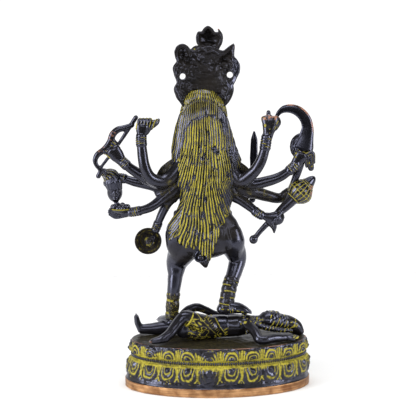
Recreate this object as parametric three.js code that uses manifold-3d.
// A cast brass figure: ten-armed Kali standing on the reclining Shiva, on an oval lotus plinth.
// Millimetres, +Z up. The origin is the centre of the plinth's underside, +X is her left, -Y her front.
import * as THREE from "three";
import { mergeVertices } from "three/addons/utils/BufferGeometryUtils.js";
import Module from "manifold-3d";

const wasm = await Module();
wasm.setup();

// Driving sizes
const figureHeight = 260; // plinth top to the crown's tip
const plinthWidth = 156; // along X, at the foot band
const plinthDepth = 88; // along Y, at the foot band
const bandHeight = 7.2; // bare foot band
const filletHeight = 2.6; // plain step over the band
const lowerTier = 15.2; // petals that hang down
const beadHeight = 5; // beaded waist between the tiers
const upperTier = 10; // petals that stand up
const waistInset = 4.2; // how far the beaded waist lies inside the band
const rimInset = 4.8; // how far the top rim lies inside the band
const topShift = 1.2; // how far the tiers stand off the band towards her right
const petalCount = 24; // petals round each tier
const petalRelief = 2.4; // how far a petal stands off the wall
const crownHoleWidth = 5; // two sprue holes through the crown's wings
const shieldWall = 1.8; // thickness of the round shield
const bladeThickness = 3; // sickle sword

const plinthHeight = bandHeight + filletHeight + lowerTier + beadHeight + upperTier;
const backward = new THREE.Vector3(0, 1, 0);
const upward = new THREE.Vector3(0, 0, 1);

// The figure is free form, so its pose and proportions are shares of its height, in per cent,
// measured from the centre of the plinth's top.
const share = figureHeight / 100;
const at = (x, y, z) => new THREE.Vector3(x * share, y * share, z * share + plinthHeight);
const path = (...rows) => rows.map((row) => at(...row));

// A three.js geometry as a solid
function solid(geometry) {
  geometry.deleteAttribute("normal");
  geometry.deleteAttribute("uv");
  const merged = mergeVertices(geometry, 1e-3);
  return new wasm.Manifold(
    new wasm.Mesh({
      numProp: 3,
      vertProperties: merged.attributes.position.array,
      triVerts: new Uint32Array(merged.index.array),
    }),
  );
}

const fuse = (...solids) => solids.flat(Infinity).reduce((whole, next) => whole.add(next));

// The largest closed surface of a solid: small voids shut in where pieces meet are filled
const outerSkin = (whole) =>
  whole.decompose().reduce((largest, next) => (next.volume() > largest.volume() ? next : largest));

// Value at share t along a list, in straight runs
function along(list, t) {
  const place = Math.min(Math.max(t, 0), 1) * (list.length - 1);
  const low = Math.min(Math.floor(place), list.length - 2);
  return THREE.MathUtils.lerp(list[low], list[low + 1], place - low);
}

// A limb: rings strung along a curve, with a blunt start and a rounded end. radius and flat are lists spread
// evenly along it, or functions of the share of the path. flat is the section's thickness along facing as
// a share of its width. bands are raised rings at [share of the path, height, how far they stand out].
function limb(points, radius, { sides = 6, rings = 5, flat = 1, facing = backward, bands = [] } = {}) {
  const curve = new THREE.CatmullRomCurve3(points, false, "centripetal");
  const length = curve.getLength() / share;
  const radiusAt = radius instanceof Function ? radius : (t) => along(radius, t);
  const flatAt = flat instanceof Function ? flat : (t) => along([flat, flat].flat(), t);
  const inBand = (t) => bands.some(([middle, height]) => Math.abs(t - middle) < height / length);
  const even = Array.from({ length: rings }, (_, k) => k / (rings - 1)).filter((t) => !inBand(t));
  const stops = even.map((t) => ({ t, raise: 0 }));
  for (const [middle, height, raise] of bands) {
    const half = height / length / 2;
    stops.push({ t: middle - half, raise: 0 }, { t: middle - half, raise });
    stops.push({ t: middle + half, raise }, { t: middle + half, raise: 0 });
  }
  stops.sort((a, b) => a.t - b.t);
  const rows = stops.length + 2;
  const geometry = new THREE.SphereGeometry(1, sides, rows);
  const position = geometry.attributes.position;
  const place = new THREE.Vector3();
  const ends = { 0: [-0.4, 0], [rows - 1]: [0.7, 0.7], [rows]: [1, 0] };
  for (let row = 0; row <= rows; row++) {
    const { t, raise } = stops[THREE.MathUtils.clamp(row - 1, 0, stops.length - 1)];
    const [reach, girth] = ends[row] ?? [0, 1];
    const thick = flatAt(t);
    const size = (radiusAt(t) + raise) * share;
    const tangent = curve.getTangent(t);
    const depth = facing.clone().addScaledVector(tangent, -facing.dot(tangent)).normalize();
    const width = depth.clone().cross(tangent);
    for (let column = 0; column <= sides; column++) {
      const angle = (column * 2 * Math.PI) / sides;
      place.copy(curve.getPoint(t)).addScaledVector(tangent, reach * size * thick);
      place.addScaledVector(width, -Math.cos(angle) * size * girth);
      place.addScaledVector(depth, Math.sin(angle) * size * girth * thick);
      position.setXYZ(row * (sides + 1) + column, place.x, place.y, place.z);
    }
  }
  return solid(geometry);
}

// An ellipsoid with its radii as shares of the height
function ball(centre, radii, { sides = 6, rings = 4, tilt = [0, 0, 0] } = {}) {
  const geometry = new THREE.SphereGeometry(1, sides, rings).rotateX(Math.PI / 2);
  geometry.scale(...radii.map((radius) => radius * share));
  geometry.applyMatrix4(new THREE.Matrix4().makeRotationFromEuler(new THREE.Euler(...tilt)));
  return solid(geometry.translate(centre.x, centre.y, centre.z));
}

// A turned piece: profile rows are [radius, height] shares, bottom to top, about an axis from foot to tip
function turned(foot, tip, profile, sides = 8) {
  const rows = profile.map(([radius, height]) => new THREE.Vector2(radius * share, height * share));
  const geometry = new THREE.LatheGeometry(rows, sides);
  const aim = tip.clone().sub(foot).normalize();
  geometry.applyQuaternion(new THREE.Quaternion().setFromUnitVectors(backward, aim));
  return solid(geometry.translate(foot.x, foot.y, foot.z));
}

// A block of columns x rows x 1 cells whose corners go where shape(u, v, w) says, each from 0 to 1
function moulded(columns, rows, shape) {
  const geometry = new THREE.BoxGeometry(1, 1, 1, columns, 1, rows);
  const position = geometry.attributes.position;
  for (let i = 0; i < position.count; i++) {
    const corner = shape(position.getX(i) + 0.5, position.getZ(i) + 0.5, position.getY(i) + 0.5);
    position.setXYZ(i, corner.x, corner.y, corner.z);
  }
  return solid(geometry);
}

// Oval plan of the plinth: the foot band's outline moved inwards by inset
function ovalPoint(angle, inset, height = 0) {
  const halfWidth = plinthWidth / 2;
  const halfDepth = plinthDepth / 2;
  const outward = new THREE.Vector2(Math.cos(angle) / halfWidth, Math.sin(angle) / halfDepth).normalize();
  const x = halfWidth * Math.cos(angle) - outward.x * inset;
  const y = halfDepth * Math.sin(angle) - outward.y * inset;
  return new THREE.Vector3(x, y, height);
}

// Angles that part the oval into equal lengths of edge
function evenAngles(count) {
  const fine = 2000;
  const lengths = [0];
  for (let i = 1; i <= fine; i++) {
    const step = ovalPoint((i * 2 * Math.PI) / fine, 0).distanceTo(ovalPoint(((i - 1) * 2 * Math.PI) / fine, 0));
    lengths.push(lengths[i - 1] + step);
  }
  return Array.from({ length: count }, (_, k) => {
    const goal = (lengths[fine] * k) / count;
    return (lengths.findIndex((length) => length >= goal) * 2 * Math.PI) / fine;
  });
}

// A drum of rings, bottom to top, each corner where corner(row, column) says, counterclockwise from above
function drum(sides, rows, corner, middle) {
  const geometry = new THREE.CylinderGeometry(1, 1, 1, sides, rows - 1);
  const position = geometry.attributes.position;
  const wallCorners = rows * (sides + 1);
  for (let i = 0; i < position.count; i++) {
    const top = position.getY(i) > 0;
    const onAxis = Math.hypot(position.getX(i), position.getZ(i)) < 0.5;
    const row = i < wallCorners ? rows - 1 - Math.floor(i / (sides + 1)) : top ? rows - 1 : 0;
    const turn = Math.atan2(position.getX(i), position.getZ(i)) / (2 * Math.PI);
    const column = (Math.round(turn * sides) + sides) % sides;
    const place = onAxis ? middle(row) : corner(row, column);
    position.setXYZ(i, place.x, place.y, place.z);
  }
  return solid(geometry);
}

// The plinth in one drum: two columns to each petal, its ridge and the valley beside it.
// Rows are [height, inset of the valley, how far the ridge stands off it].
function plinth() {
  const lowerFoot = bandHeight + filletHeight;
  const waistFoot = lowerFoot + lowerTier;
  const waistTop = waistFoot + beadHeight;
  const rings = [
    [0, 0.4, 0],
    [bandHeight, 0, 0],
    [bandHeight, 1, 0],
    [lowerFoot, 1, 0],
    [lowerFoot + lowerTier * 0.08, 2.2, 0.8],
    [lowerFoot + lowerTier * 0.45, 2.1, petalRelief],
    [lowerFoot + lowerTier * 0.88, 3, petalRelief],
    [waistFoot, waistInset, 0],
    [waistTop, waistInset, 0],
    [waistTop + upperTier * 0.25, waistInset + 0.4, petalRelief],
    [waistTop + upperTier * 0.8, rimInset, petalRelief],
    [plinthHeight, rimInset, 0],
  ];
  const angles = evenAngles(petalCount * 2);
  const corner = (row, column) => {
    const [height, inset, relief] = rings[row];
    const edge = ovalPoint(angles[column], inset - (column % 2) * relief, height);
    return edge.setX(edge.x - topShift * Math.min(1, row / 7));
  };
  return drum(petalCount * 2, rings.length, corner, (row) => new THREE.Vector3(0, 0, rings[row][0]));
}

// Kali's head, seen from behind as the hollow back of a winged crown
const crownAxis = 3.5;
const crownFoot = 74.4;
const crownTop = 92.6;
const crownLeft = [10.5, 12.7, 13.7, 13.0, 13.6, 13.9, 12.9, 12.4, 9.0];
const crownRight = [-1.2, -3.8, -4.8, -4.9, -6.3, -6.8, -6.5, -5.6, -1.6];
const crownWall = 2;
const hollowDepth = 3;

function crownShell() {
  const shell = moulded(5, 8, (u, v, w) => {
    const x = THREE.MathUtils.lerp(along(crownRight, v), along(crownLeft, v), u);
    const edge = Math.abs(2 * u - 1) ** 2.5;
    const lip = v > 0.75 ? (v - 0.75) * 4 : 0;
    const back = Math.max(edge, lip * lip) * hollowDepth - 0.4;
    return at(x, back - (1 - w) * crownWall, THREE.MathUtils.lerp(crownFoot, crownTop, v));
  });
  const leftWing = ball(at(11.2, -0.2, 90.8), [2.7, 1.5, 3.7], { tilt: [0, -0.35, 0] });
  const rightWing = limb(path([-3.0, -0.4, 90], [-4.0, -0.2, 92.4], [-5.0, 0, 94.2]), [2.4, 1.6, 0.5], {
    rings: 3,
    flat: 0.6,
  });
  const pits = [ball(at(9.1, 2.4, 89.6), [1.7, 2.2, 1.7]), ball(at(-1.9, 2.4, 89.6), [1.7, 2.2, 1.7])];
  return pits.reduce((left, pit) => left.subtract(pit), fuse(shell, leftWing, rightWing, finial()));
}

// The three-pointed plume over the crown, hollow behind
const plumeFoot = 88;
const plumeHalfWidth = [5.2, 3.8, 4.0, 4.3, 3.9];
const plumePoints = [97.8, 97.6, 98.4, 99.8, 98.4, 97.6, 98.4];

function finial() {
  return moulded(6, 3, (u, v, w) => {
    const across = 2 * u - 1;
    const x = 3.0 + across * along(plumeHalfWidth, v);
    const hollow = (1 - across * across) * Math.min(1, v * 2) * 1.7;
    const z = THREE.MathUtils.lerp(plumeFoot, along(plumePoints, u), v);
    return at(x, -0.4 - hollow - (1 - w) * 1.4, z);
  });
}

const crownHoles = () =>
  [at(11.1, 0, 84.6), at(-3.8, 0, 85)].map((place) => {
    const drill = new THREE.CylinderGeometry(crownHoleWidth / 2, crownHoleWidth / 2, figureHeight * 0.14, 8);
    return solid(drill.translate(place.x, place.y, place.z));
  });

// The face side of the head: a plain oval with a nose and tongue, a tiered crown and ear discs
function headFront() {
  const tiers = [
    [0, 0],
    [4.9, 0],
    [5.1, 1.6],
    [3.9, 2.0],
    [3.7, 5.6],
    [2.4, 6.2],
    [0, 10.2],
  ];
  return [
    ball(at(crownAxis, -4.8, 79), [4.4, 4.3, 6.3], { sides: 8, rings: 5 }),
    limb(path([crownAxis, -8.6, 80.2], [crownAxis, -9.2, 78.2]), [0.45, 0.8], { sides: 5, rings: 2 }),
    limb(path([crownAxis, -7.4, 75.8], [crownAxis, -8.2, 73.8]), [1.0, 0.7], { sides: 5, rings: 2, flat: 0.6 }),
    turned(at(crownAxis, -4.2, 82.6), at(crownAxis, -2.4, 92.6), tiers),
    [-5.6, 6].map((side) => ball(at(crownAxis + side, -2, 78.2), [2.1, 1.4, 2.6])),
  ];
}

// Hair: a leaf-shaped mantle down the back, combed into locks that end in ragged tips
const hairFoot = 25.6;
const hairTop = 77.6;
const lockCount = 8;
const lockRelief = 0.8;
const hairLeft = [4.6, 10.6, 13.2, 12.6, 12.5, 14.6, 15.5, 15.3, 14.3, 12.6, 9.6];
const hairRight = [2.6, -0.4, -2.4, -4.2, -5.0, -6.4, -7.5, -6.4, -4.6, -3.0, -1.2];
const hairBack = [2.6, 4.2, 5.2, 5.8, 6.4, 6.8, 6.8, 6.2, 5.0, 3.6, 2.2];
const hairFront = -0.6;

function hairMantle() {
  const rows = 10;
  const columns = lockCount * 2 + 1;
  const level = (v) => THREE.MathUtils.lerp(hairFoot, hairTop, v);
  const corner = (row, column) => {
    const v = row / (rows - 1);
    const u = column / (columns - 1);
    const across = 2 * u - 1;
    const ridge = column % 2;
    const round = Math.sqrt(1 - across * across * 0.92);
    const back = along(hairBack, v) * round + ridge * lockRelief;
    const drop = row === 0 ? ridge * 1.6 : 0;
    const arch = row === rows - 1 ? (1 - across * across) * 1.4 : 0;
    const x = THREE.MathUtils.lerp(along(hairLeft, v), along(hairRight, v), u);
    return at(x, column % (columns - 1) === 0 ? hairFront : back, level(v) + arch - drop);
  };
  const middle = (row) => at(crownAxis, 1, level(row / (rows - 1)));
  return drum(columns, rows, corner, middle);
}

// Locks that spill over the two shoulders
function shoulderLocks() {
  return [
    limb(path([12.5, 2.4, 62], [15.6, 2.2, 58.4], [17.4, 1.6, 55.0], [17.0, 0, 51]), [1.6, 2.2, 2.0, 1.2]),
    limb(path([-4.4, 2.4, 61], [-7.0, 2.2, 57.6], [-8.4, 1.6, 54.6], [-8.6, 0, 51]), [1.4, 1.9, 1.8, 1.2]),
  ];
}

// Trunk, neck, breasts and the short flared skirt
function trunk() {
  const spine = path(
    [4.6, 0, 30],
    [4.4, -0.6, 40],
    [4.2, -0.8, 47],
    [4.0, -0.6, 56],
    [3.9, -0.6, 62],
    [3.8, -1.2, 66.5],
    [3.6, -2.8, 70],
    [3.5, -3.6, 76],
  );
  const skirt = path([4.7, -0.4, 43], [4.6, -0.6, 39], [4.5, -0.8, 35], [4.9, -0.8, 30.6]);
  return [
    limb(spine, [9.6, 8.2, 6.4, 8.2, 9.4, 7.2, 3.2, 3.0], {
      sides: 9,
      rings: 8,
      flat: [0.56, 0.56, 0.56, 0.56, 0.5, 0.55, 0.95, 1],
    }),
    [0, 8].map((x) => ball(at(x, -4.4, 57), [3.2, 3.0, 3.0])),
    limb(skirt, [8.4, 10.2, 12.5, 12.0], { sides: 10, rings: 4, flat: [0.5, 0.5, 0.46, 0.36] }),
  ];
}

// The long garland of small heads down the front: a cord that swells at every head
const garlandHeads = 8;

function garland() {
  const loop = path(
    [-2.6, -3.6, 65],
    [-4.0, -4.6, 54],
    [-2.4, -5.4, 42],
    [0.6, -6.8, 33],
    [4.4, -6.2, 26],
    [8.4, -6.8, 33],
    [11.0, -5.4, 42],
    [11.8, -4.6, 54],
    [10.4, -3.6, 65],
  );
  const swell = Array.from({ length: garlandHeads * 2 + 1 }, (_, k) => (k % 2 ? 1.8 : 0.9));
  return limb(loop, swell, { sides: 5, rings: swell.length });
}

// Arms: the path runs from the shoulder through elbow and wrist and ends in the closed hand.
// wrist is its share of the path, and the band before it is the stack of bangles.
const armTaper = [3.0, 2.6, 2.2, 1.9, 1.75, 1.6, 1.45];
const fistTaper = [1.4, 2.1, 2.0];

function arm(points, wrist, stout = 1) {
  const rings = points.length + 1;
  const sides = stout < 0.9 ? 5 : 6;
  const radiusAt = (t) => (t < wrist ? along(armTaper, t / wrist) : along(fistTaper, (t - wrist) / (1 - wrist))) * stout;
  const flatAt = (t) => (t < wrist ? 1 : 0.68);
  return limb(path(...points), radiusAt, { sides, rings, flat: flatAt, bands: [[wrist - 0.07, 2.2, 0.45]] });
}

const thumb = (from, to) => limb(path(from, to), [0.8, 0.65], { sides: 5, rings: 2 });

function leftArms() {
  return [
    arm([[10, 0, 59.5], [13.6, 1.6, 54.6], [17.2, 3.1, 51.9], [21.1, 4.6, 52.8], [23.2, 5.4, 56.4], [24.1, 5.4, 62.1], [24.2, 5, 67.2], [22.6, 4.4, 71.2]], 0.87),
    arm([[10, -0.5, 57.5], [17.5, 1.9, 51.4], [21.6, 2.3, 52.1], [26, 2.3, 54.7], [30.1, 2.3, 58], [34.8, 2.2, 63.8]], 0.86, 0.96),
    arm([[10, -1.5, 56], [16.8, 0, 49.6], [21.5, 0, 50.2], [26.3, -0.8, 51.1], [31, -1.2, 52.4], [34.4, -1.2, 52.2]], 0.86, 0.86),
    arm([[9.5, -0.5, 54], [14.6, 0.8, 48.4], [18, 1.5, 45.8], [21.7, 2.3, 43.3], [28.0, 0.8, 41.6], [33.0, -0.6, 41.4]], 0.82, 0.86),
    arm([[9.5, -1.5, 52.5], [14, -0.6, 46.6], [16.1, -0.8, 43.9], [18.1, -1.5, 39.8], [19.6, -2.1, 35.8], [21.6, -2, 31.2]], 0.84, 0.8),
    thumb([21.9, 4.2, 69.4], [20.6, 3.6, 71.6]),
    thumb([33.2, 1.6, 63.4], [34.2, 0.4, 65.6]),
  ];
}

function rightArms() {
  return [
    arm([[-2.4, 0, 59.5], [-4.4, 1.6, 54.6], [-6.9, 3.1, 51.6], [-10.4, 4.6, 54.1], [-12.6, 5.4, 57], [-14.2, 5.4, 61.1], [-15.2, 5, 67], [-15.9, 4.4, 71]], 0.86),
    arm([[-2.4, -0.5, 57], [-6, 1, 52.6], [-10.2, 1.9, 50.4], [-15.4, 2.3, 51.3], [-20, 2.3, 52.9], [-25.0, 2.4, 57.2], [-26.2, 2.2, 61.4]], 0.86, 0.94),
    arm([[-2.4, -1.5, 55], [-8.8, -0.8, 48.3], [-12.1, -1.5, 47.2], [-16.4, -2.3, 45.8], [-20.4, -3.1, 45], [-24.4, -3.2, 47.6]], 0.86, 0.86),
    arm([[-1.6, -0.5, 53], [-5, 0, 46.8], [-7.4, 0.8, 45.1], [-10.4, 1.5, 42.9], [-13.2, 2.3, 40.7], [-18.4, 2.4, 38.8]], 0.84, 0.86),
    thumb([-18.2, 2.0, 37.6], [-18.2, 1.5, 35.2]),
    arm([[-2.4, -2, 58.5], [-6.6, -2.6, 53.6], [-9.8, -5.6, 49.4], [-11.4, -8.4, 49.4], [-12.2, -10.8, 51]], 0.82, 0.86),
    thumb([-14.2, 4.2, 69.4], [-13.0, 3.6, 71.8]),
    thumb([-17.2, 3.8, 67.6], [-18, 3.6, 70.8]),
    ball(at(-26.0, 2.0, 61.6), [2.9, 2.0, 3.6]),
    limb(path([-27.4, 1.6, 60.4], [-29.2, 1.4, 58], [-29.7, 1.2, 55.4]), [1.2, 1.3, 1.2], { sides: 5, rings: 3 }),
  ];
}

// What the hands hold
function bow() {
  const stave = path(
    [27.0, 2.3, 69.6],
    [29.8, 2.3, 68.7],
    [31.6, 2.3, 68.2],
    [33.2, 2.3, 66.7],
    [34.0, 2.3, 64.4],
    [35.6, 2.3, 62.2],
    [38.0, 2.3, 60.4],
    [38.8, 2.3, 58.6],
    [38.4, 2.3, 57.0],
    [37.2, 2.3, 55.4],
    [37.9, 2.0, 53.4],
  );
  const cord = path([25.9, 2.3, 72.0], [31.4, 1.6, 63.6], [37.2, 2.3, 56.1]);
  return [
    limb(stave, [0.8, 0.95, 1, 1, 1, 1, 1, 0.9, 0.8, 0.7, 0.75], { sides: 5, rings: 11 }),
    limb(cord, [0.65, 0.65], { sides: 5, rings: 2 }),
  ];
}

function trophyAndCup() {
  const cup = [
    [0, 0],
    [2.2, 0.2],
    [3.8, 1.8],
    [3.5, 3.1],
    [0, 3.6],
  ];
  return [
    ball(at(32.7, -1.2, 47.8), [3.0, 2.9, 3.8], { sides: 7, rings: 5 }),
    limb(path([35.2, -1.2, 53.2], [33.2, -1.2, 49.4]), [1.5, 2.9], { rings: 2 }),
    limb(path([32.3, -1.0, 45], [31.9, -0.8, 43]), [0.9, 0.8], { sides: 5, rings: 2 }),
    turned(at(31.0, -0.4, 41.2), at(31.0, -0.4, 44), cup, 8),
  ];
}

// A round shield, hollow side to the back, with its wall set in millimetres
function shield() {
  const wall = shieldWall / share;
  const profile = [
    [0, 0],
    [2.6, 0.25],
    [4.3, 1.9],
    [4.3, 1.9 + wall * 0.6],
    [4.3 - wall, 1.9 + wall * 0.6],
    [2.6, wall + 0.45],
    [0, wall],
  ];
  return turned(at(22.2, -4.4, 31.6), at(22.2, 0, 31.6), profile, 12);
}

function sickleSword() {
  const line = path(
    [-26.9, 1.5, 61.5],
    [-28.0, 1.5, 65.3],
    [-28.4, 1.5, 68.5],
    [-27.5, 1.5, 71.3],
    [-25.5, 1.5, 73.4],
    [-23.2, 1.5, 74.3],
    [-21.0, 1.5, 74.2],
    [-19.4, 1.5, 73.2],
    [-18.2, 1.7, 71.4],
  );
  const widest = 1.9;
  const guard = [
    [0, 0],
    [3.2, 0],
    [3.2, 1.1],
    [0, 1.1],
  ];
  return [
    limb(line, [1.4, widest, 1.8, 1.7, 1.6, 1.45, 1.2, 0.8, 0.5], {
      rings: 10,
      flat: bladeThickness / (2 * widest * share),
    }),
    turned(at(-27.6, 0.4, 60.6), at(-28.2, 0.4, 66), guard),
    limb(path([-27.2, 1.2, 62], [-26.2, 0.6, 56], [-24.2, -0.6, 49.6]), [1.2, 1.4, 1.2], { rings: 3 }),
  ];
}

function mace() {
  const pommel = at(-11.4, 1.5, 32.4);
  const middle = at(-26.4, 0, 47.4);
  const shaft = path([-11.4, 1.5, 32.4], [-14.2, 1.5, 35.8], [-18.4, 1.2, 40], [-22, 0.7, 43.2], [-26, 0, 47]);
  const head = [
    [0, 0],
    [1.9, 0],
    [3.6, 1.6],
    [4.2, 3.6],
    [3.7, 5.4],
    [2.4, 6.8],
    [1.9, 8.4],
    [0.9, 10.2],
    [0, 10.6],
  ];
  return [
    limb(shaft, [0.8, 0.9, 1.2, 1.6, 1.9], { rings: 5 }),
    turned(middle.clone().lerp(pommel, 0.17), middle, head, 8),
    ball(pommel, [1.5, 1.3, 1.6]),
  ];
}

// A straight short sword held upright before her, and the small vessels in the raised hands
function frontSword() {
  const blade = path([-12.2, -11, 42], [-12.4, -11, 50], [-12.6, -11, 57], [-12.7, -11, 63], [-12.7, -11, 65.6]);
  return limb(blade, [1.1, 0.8, 1.3, 1.1, 0.3], { rings: 6, flat: [1, 0.4] });
}

function raisedVessels() {
  const profile = [
    [0, 0],
    [0.8, 0],
    [2.2, 2.6],
    [0.7, 3.3],
    [0, 4.2],
  ];
  const places = [
    [at(21.4, 3.6, 68.4), at(20.4, 3.6, 72)],
    [at(-15.6, 3.4, 70.2), at(-15.2, 3.4, 74)],
  ];
  return places.map(([foot, tip]) => turned(foot, tip, profile, 6));
}

// Legs with their anklets, and feet
function legs() {
  const left = path([6.6, 0, 34], [10, -2, 29.4], [12.7, -4.2, 24.1], [13.4, -3.5, 20], [14.0, -3.1, 15.2], [14.7, -3.6, 5.2]);
  const right = path([1.4, 0, 34], [-3.6, -2.4, 30], [-6.6, -4.4, 25.6], [-5.9, -3.1, 21.5], [-4.2, -1.2, 17.3], [-2.4, 0.8, 9.4]);
  const leftFoot = path([14.7, -2.4, 4.9], [16.0, -5.6, 5.2], [17.2, -9.4, 4.0], [17.8, -11.6, 3.2]);
  const rightFoot = path([-1.2, 0.8, 9.0], [-5, 0.8, 9.9], [-8.2, 0.8, 9.2], [-10.6, 0.8, 7.6]);
  return [
    limb(left, [5.4, 5.2, 3.7, 2.5, 2.2, 1.8], { sides: 7, rings: 7, bands: [[0.87, 3.4, 0.4]] }),
    limb(right, [5.2, 4.6, 3.1, 2.7, 2.4, 1.9], { sides: 7, rings: 7, bands: [[0.87, 3.2, 0.4]] }),
    limb(leftFoot, [1.7, 2.1, 2.2, 1.4], { rings: 3, flat: 0.62, facing: upward }),
    limb(rightFoot, [2.0, 2.2, 2.0, 1.0], { rings: 3, flat: 0.7, facing: upward }),
  ];
}

// Shiva, lying on his back with his head to her right
function shiva() {
  const trunkLine = path([7.6, 0.4, 3.6], [1.4, 0.2, 3.5], [-6.5, 0, 3.8], [-11.4, 0, 3.9]);
  const nearArm = path([-9.6, 3, 4.8], [-11.6, 7, 3.2], [-12.8, 9.8, 1.5], [-17.6, 8.6, 1.6], [-24.6, 6, 1.4]);
  const farArm = path([-8.8, -3.6, 4.8], [-4.6, -5.6, 5.6], [0.4, -6.2, 6.4], [5.3, -6.2, 7.8], [8.8, -5.6, 6.8], [10.6, -4.4, 4.4]);
  const nearLeg = path([3.6, 2.4, 3.8], [8.2, 3.4, 6.6], [11.4, 4.2, 8.2], [13.6, 5.6, 6.2], [17.4, 7.8, 1.9], [22.4, 8.4, 1.3]);
  const farLeg = path([3.6, -2.6, 3.4], [9, -4.4, 2.8], [13, -5.2, 2.4], [19, -5.4, 1.8], [24.9, -5.4, 1.9], [26.2, -5.4, 6.2]);
  return [
    limb(trunkLine, [3.8, 3.9, 3.8, 3.0], { sides: 8, rings: 5, flat: 0.92, facing: upward }),
    ball(at(-16.8, -0.7, 4.7), [4.0, 3.5, 3.8], { sides: 7, rings: 5 }),
    ball(at(-21.2, -0.6, 3.5), [3.0, 2.8, 2.8]),
    limb(path([-18.6, -2.2, 4.6], [-22.6, -3.4, 3.6], [-26.4, -2.2, 1.2]), [2.4, 2.8, 1.9], { rings: 4 }),
    limb(nearArm, [1.9, 1.6, 1.45, 1.35, 1.0], { rings: 7 }),
    limb(farArm, [1.7, 1.35, 1.3, 1.3, 1.2, 1.1], { rings: 7 }),
    limb(nearLeg, [3.0, 2.6, 2.0, 1.6, 1.4, 1.0], { rings: 8 }),
    limb(farLeg, [3.0, 2.6, 2.3, 2.0, 1.7, 0.9], { rings: 7 }),
  ];
}

// One casting: everything is fused, then the two holes are drilled through the crown's wings
function casting() {
  const whole = fuse(
    plinth(),
    shiva(),
    legs(),
    trunk(),
    garland(),
    hairMantle(),
    shoulderLocks(),
    leftArms(),
    rightArms(),
    crownShell(),
    headFront(),
    bow(),
    trophyAndCup(),
    shield(),
    sickleSword(),
    mace(),
    frontSword(),
    raisedVessels(),
  );
  return outerSkin(crownHoles().reduce((left, hole) => left.subtract(hole), whole));
}

function meshOf(name, made, material) {
  const { vertProperties, triVerts, numProp, numVert } = made.getMesh();
  const corners = new Float32Array(numVert * 3);
  for (let i = 0; i < numVert; i++) {
    corners.set(vertProperties.subarray(i * numProp, i * numProp + 3), i * 3);
  }
  const geometry = new THREE.BufferGeometry();
  geometry.setAttribute("position", new THREE.BufferAttribute(corners, 3));
  geometry.setIndex(new THREE.BufferAttribute(triVerts, 1));
  geometry.computeVertexNormals();
  const mesh = new THREE.Mesh(geometry, material);
  mesh.name = name;
  return mesh;
}

const blackenedBrass = new THREE.MeshStandardMaterial({ color: 0x2a2a2e, roughness: 0.35, metalness: 0.8 });

const figure = new THREE.Group();
figure.add(meshOf("kali_casting", casting(), blackenedBrass));

export default figure;
